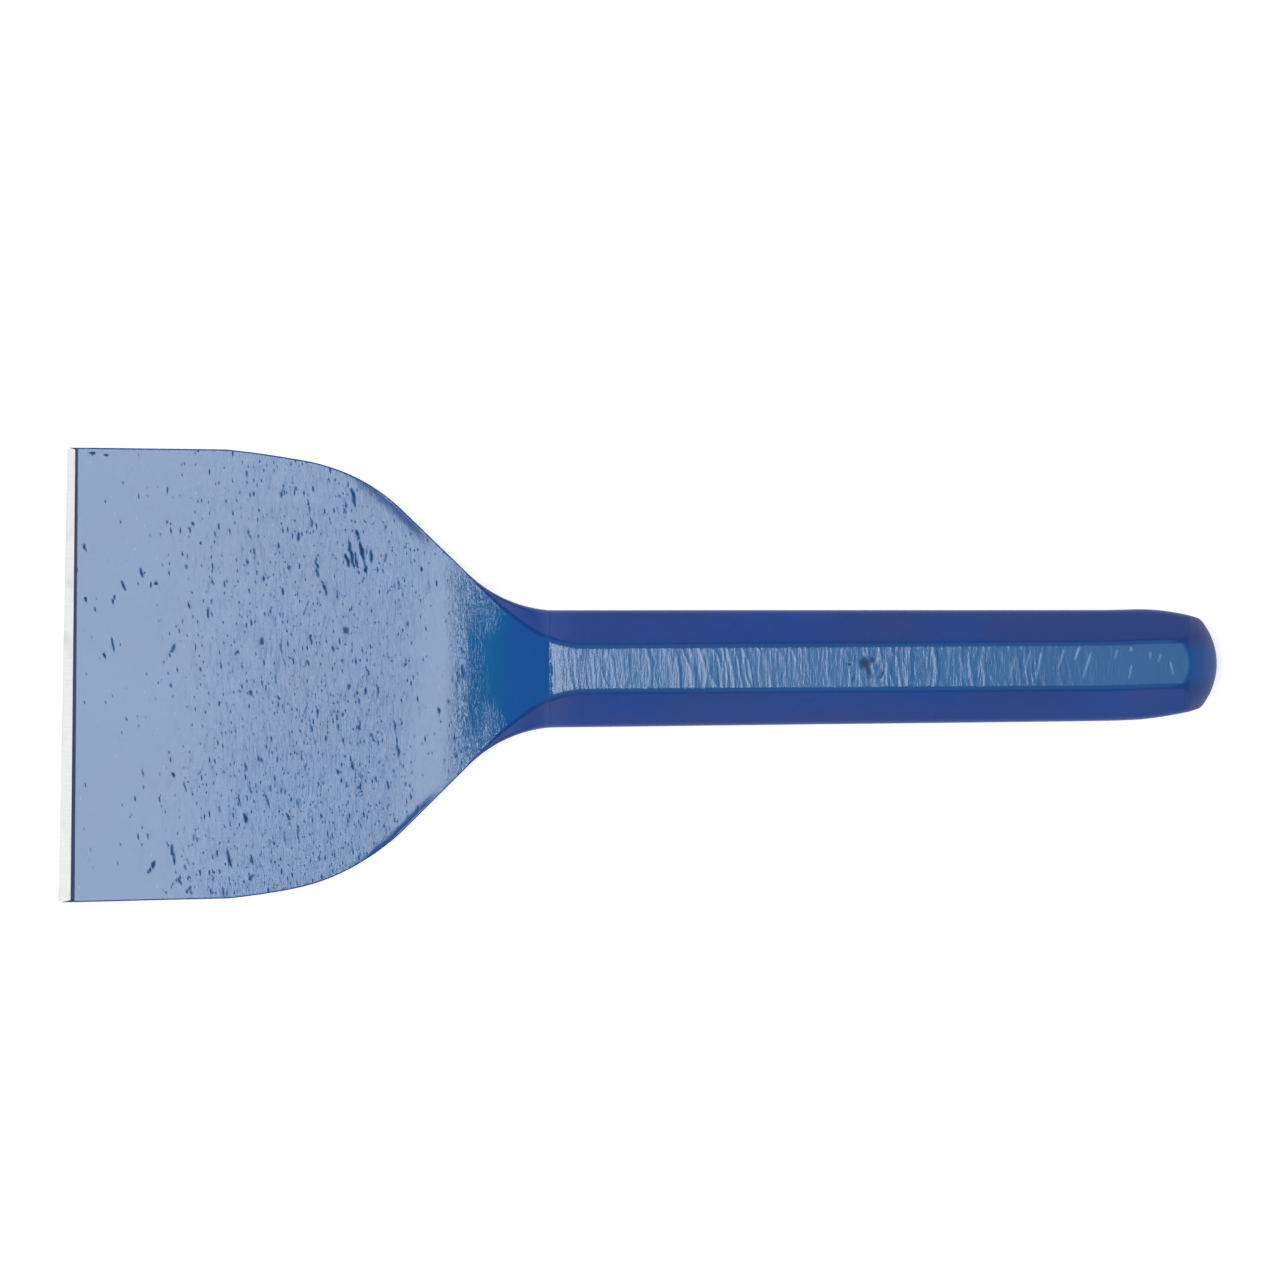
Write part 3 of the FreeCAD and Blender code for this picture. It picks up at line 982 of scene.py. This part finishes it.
def floor_material():
    """Plain pale backdrop, softly lit from within, with a very faint mottle."""
    n = Nodes("pale_backdrop")
    mottle = n.noise((9.0, 9.0, 9.0), 3.0)
    n.put(n.shader.inputs["Base Color"], n.mix(mottle, FLOOR_SHADE, FLOOR_PALE))
    n.put(n.shader.inputs["Roughness"], 0.9)
    n.put(n.shader.inputs["Specular IOR Level"], 0.1)
    n.put(n.shader.inputs["Emission Color"], WHITE)
    n.put(n.shader.inputs["Emission Strength"], FLOOR_GLOW)
    return n.material


def finish_with(obj, material):
    """Makes this the object's only material."""
    obj.data.materials.clear()
    obj.data.materials.append(material)


def add_floor():
    """A wide plane just under the tool."""
    low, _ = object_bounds()
    place = (0.0, 0.0, low[2] - FLOOR_GAP)
    bpy.ops.mesh.primitive_plane_add(size=FLOOR_SIZE, location=place)
    floor = bpy.context.object
    floor.name = "floor"
    finish_with(floor, floor_material())


# Strip lights over the tool: where each ends along X, and its share of the first's radiance
LIGHT_HEIGHT = 1.7
LIGHT_LENGTH = 1.2
LIGHT_RADIANCE = 11.5
KEY_START = -0.60
KEY_END = -0.07
SPILL_END = 0.12
SPILL_SHARE = 0.21
TAIL_END = 0.46
TAIL_SHARE = 0.115
ROOM_STRENGTH = 0.2


def add_softbox(name, left, right, radiance):
    """A level strip light over the tool, from one X to another, unseen by the camera."""
    lamp = bpy.data.lights.new(name, "AREA")
    lamp.shape = "RECTANGLE"
    lamp.size, lamp.size_y = right - left, LIGHT_LENGTH
    lamp.energy = radiance * math.pi * lamp.size * lamp.size_y
    box = bpy.data.objects.new(name, lamp)
    bpy.context.scene.collection.objects.link(box)
    box.location = ((left + right) / 2, 0.0, LIGHT_HEIGHT)
    box.visible_camera = False


def add_lights():
    """A softbox over the blade that falls off in steps towards the head, in a dim room."""
    add_softbox("softbox", KEY_START, KEY_END, LIGHT_RADIANCE)
    add_softbox("softbox_spill", KEY_END, SPILL_END, SPILL_SHARE * LIGHT_RADIANCE)
    add_softbox("softbox_tail", SPILL_END, TAIL_END, TAIL_SHARE * LIGHT_RADIANCE)
    world = bpy.data.worlds.new("studio")
    world.use_nodes = True
    room = world.node_tree.nodes["Background"]
    room.inputs["Color"].default_value = (*WHITE, 1.0)
    room.inputs["Strength"].default_value = ROOM_STRENGTH
    bpy.context.scene.world = world
    bpy.context.scene.view_settings.view_transform = "Standard"


CAMERA_HEIGHT = 1.5
CAMERA_AHEAD = 0.0008
CAMERA_ASIDE = 0.0069
CAMERA_ROLL = math.radians(-0.35)
CAMERA_NEAR = 0.01
CAMERA_FAR = 20.0
SENSOR_WIDTH = 36.0
SHARE_OF_WIDTH = 0.9061


def add_camera():
    """Straight above, with the tool across nine tenths of the picture's width."""
    low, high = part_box("lacquer_coat")
    camera = bpy.data.cameras.new("camera")
    camera.sensor_width = SENSOR_WIDTH
    distance = CAMERA_HEIGHT - (low[2] + high[2]) / 2
    camera.lens = SENSOR_WIDTH * distance * SHARE_OF_WIDTH / (high[0] - low[0])
    camera.clip_start, camera.clip_end = CAMERA_NEAR, CAMERA_FAR
    eye = bpy.data.objects.new("camera", camera)
    bpy.context.scene.collection.objects.link(eye)
    eye.location = ((low[0] + high[0]) / 2 + CAMERA_AHEAD, CAMERA_ASIDE, CAMERA_HEIGHT)
    eye.rotation_euler = (0.0, 0.0, CAMERA_ROLL)
    bpy.context.scene.camera = eye


film = build_lacquer()
finish_with(film, lacquer_material())
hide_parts("lacquer_coat")
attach(film, "root")
finish_with(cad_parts["forged_steel_body"], steel_material())
add_floor()
add_lights()
add_camera()
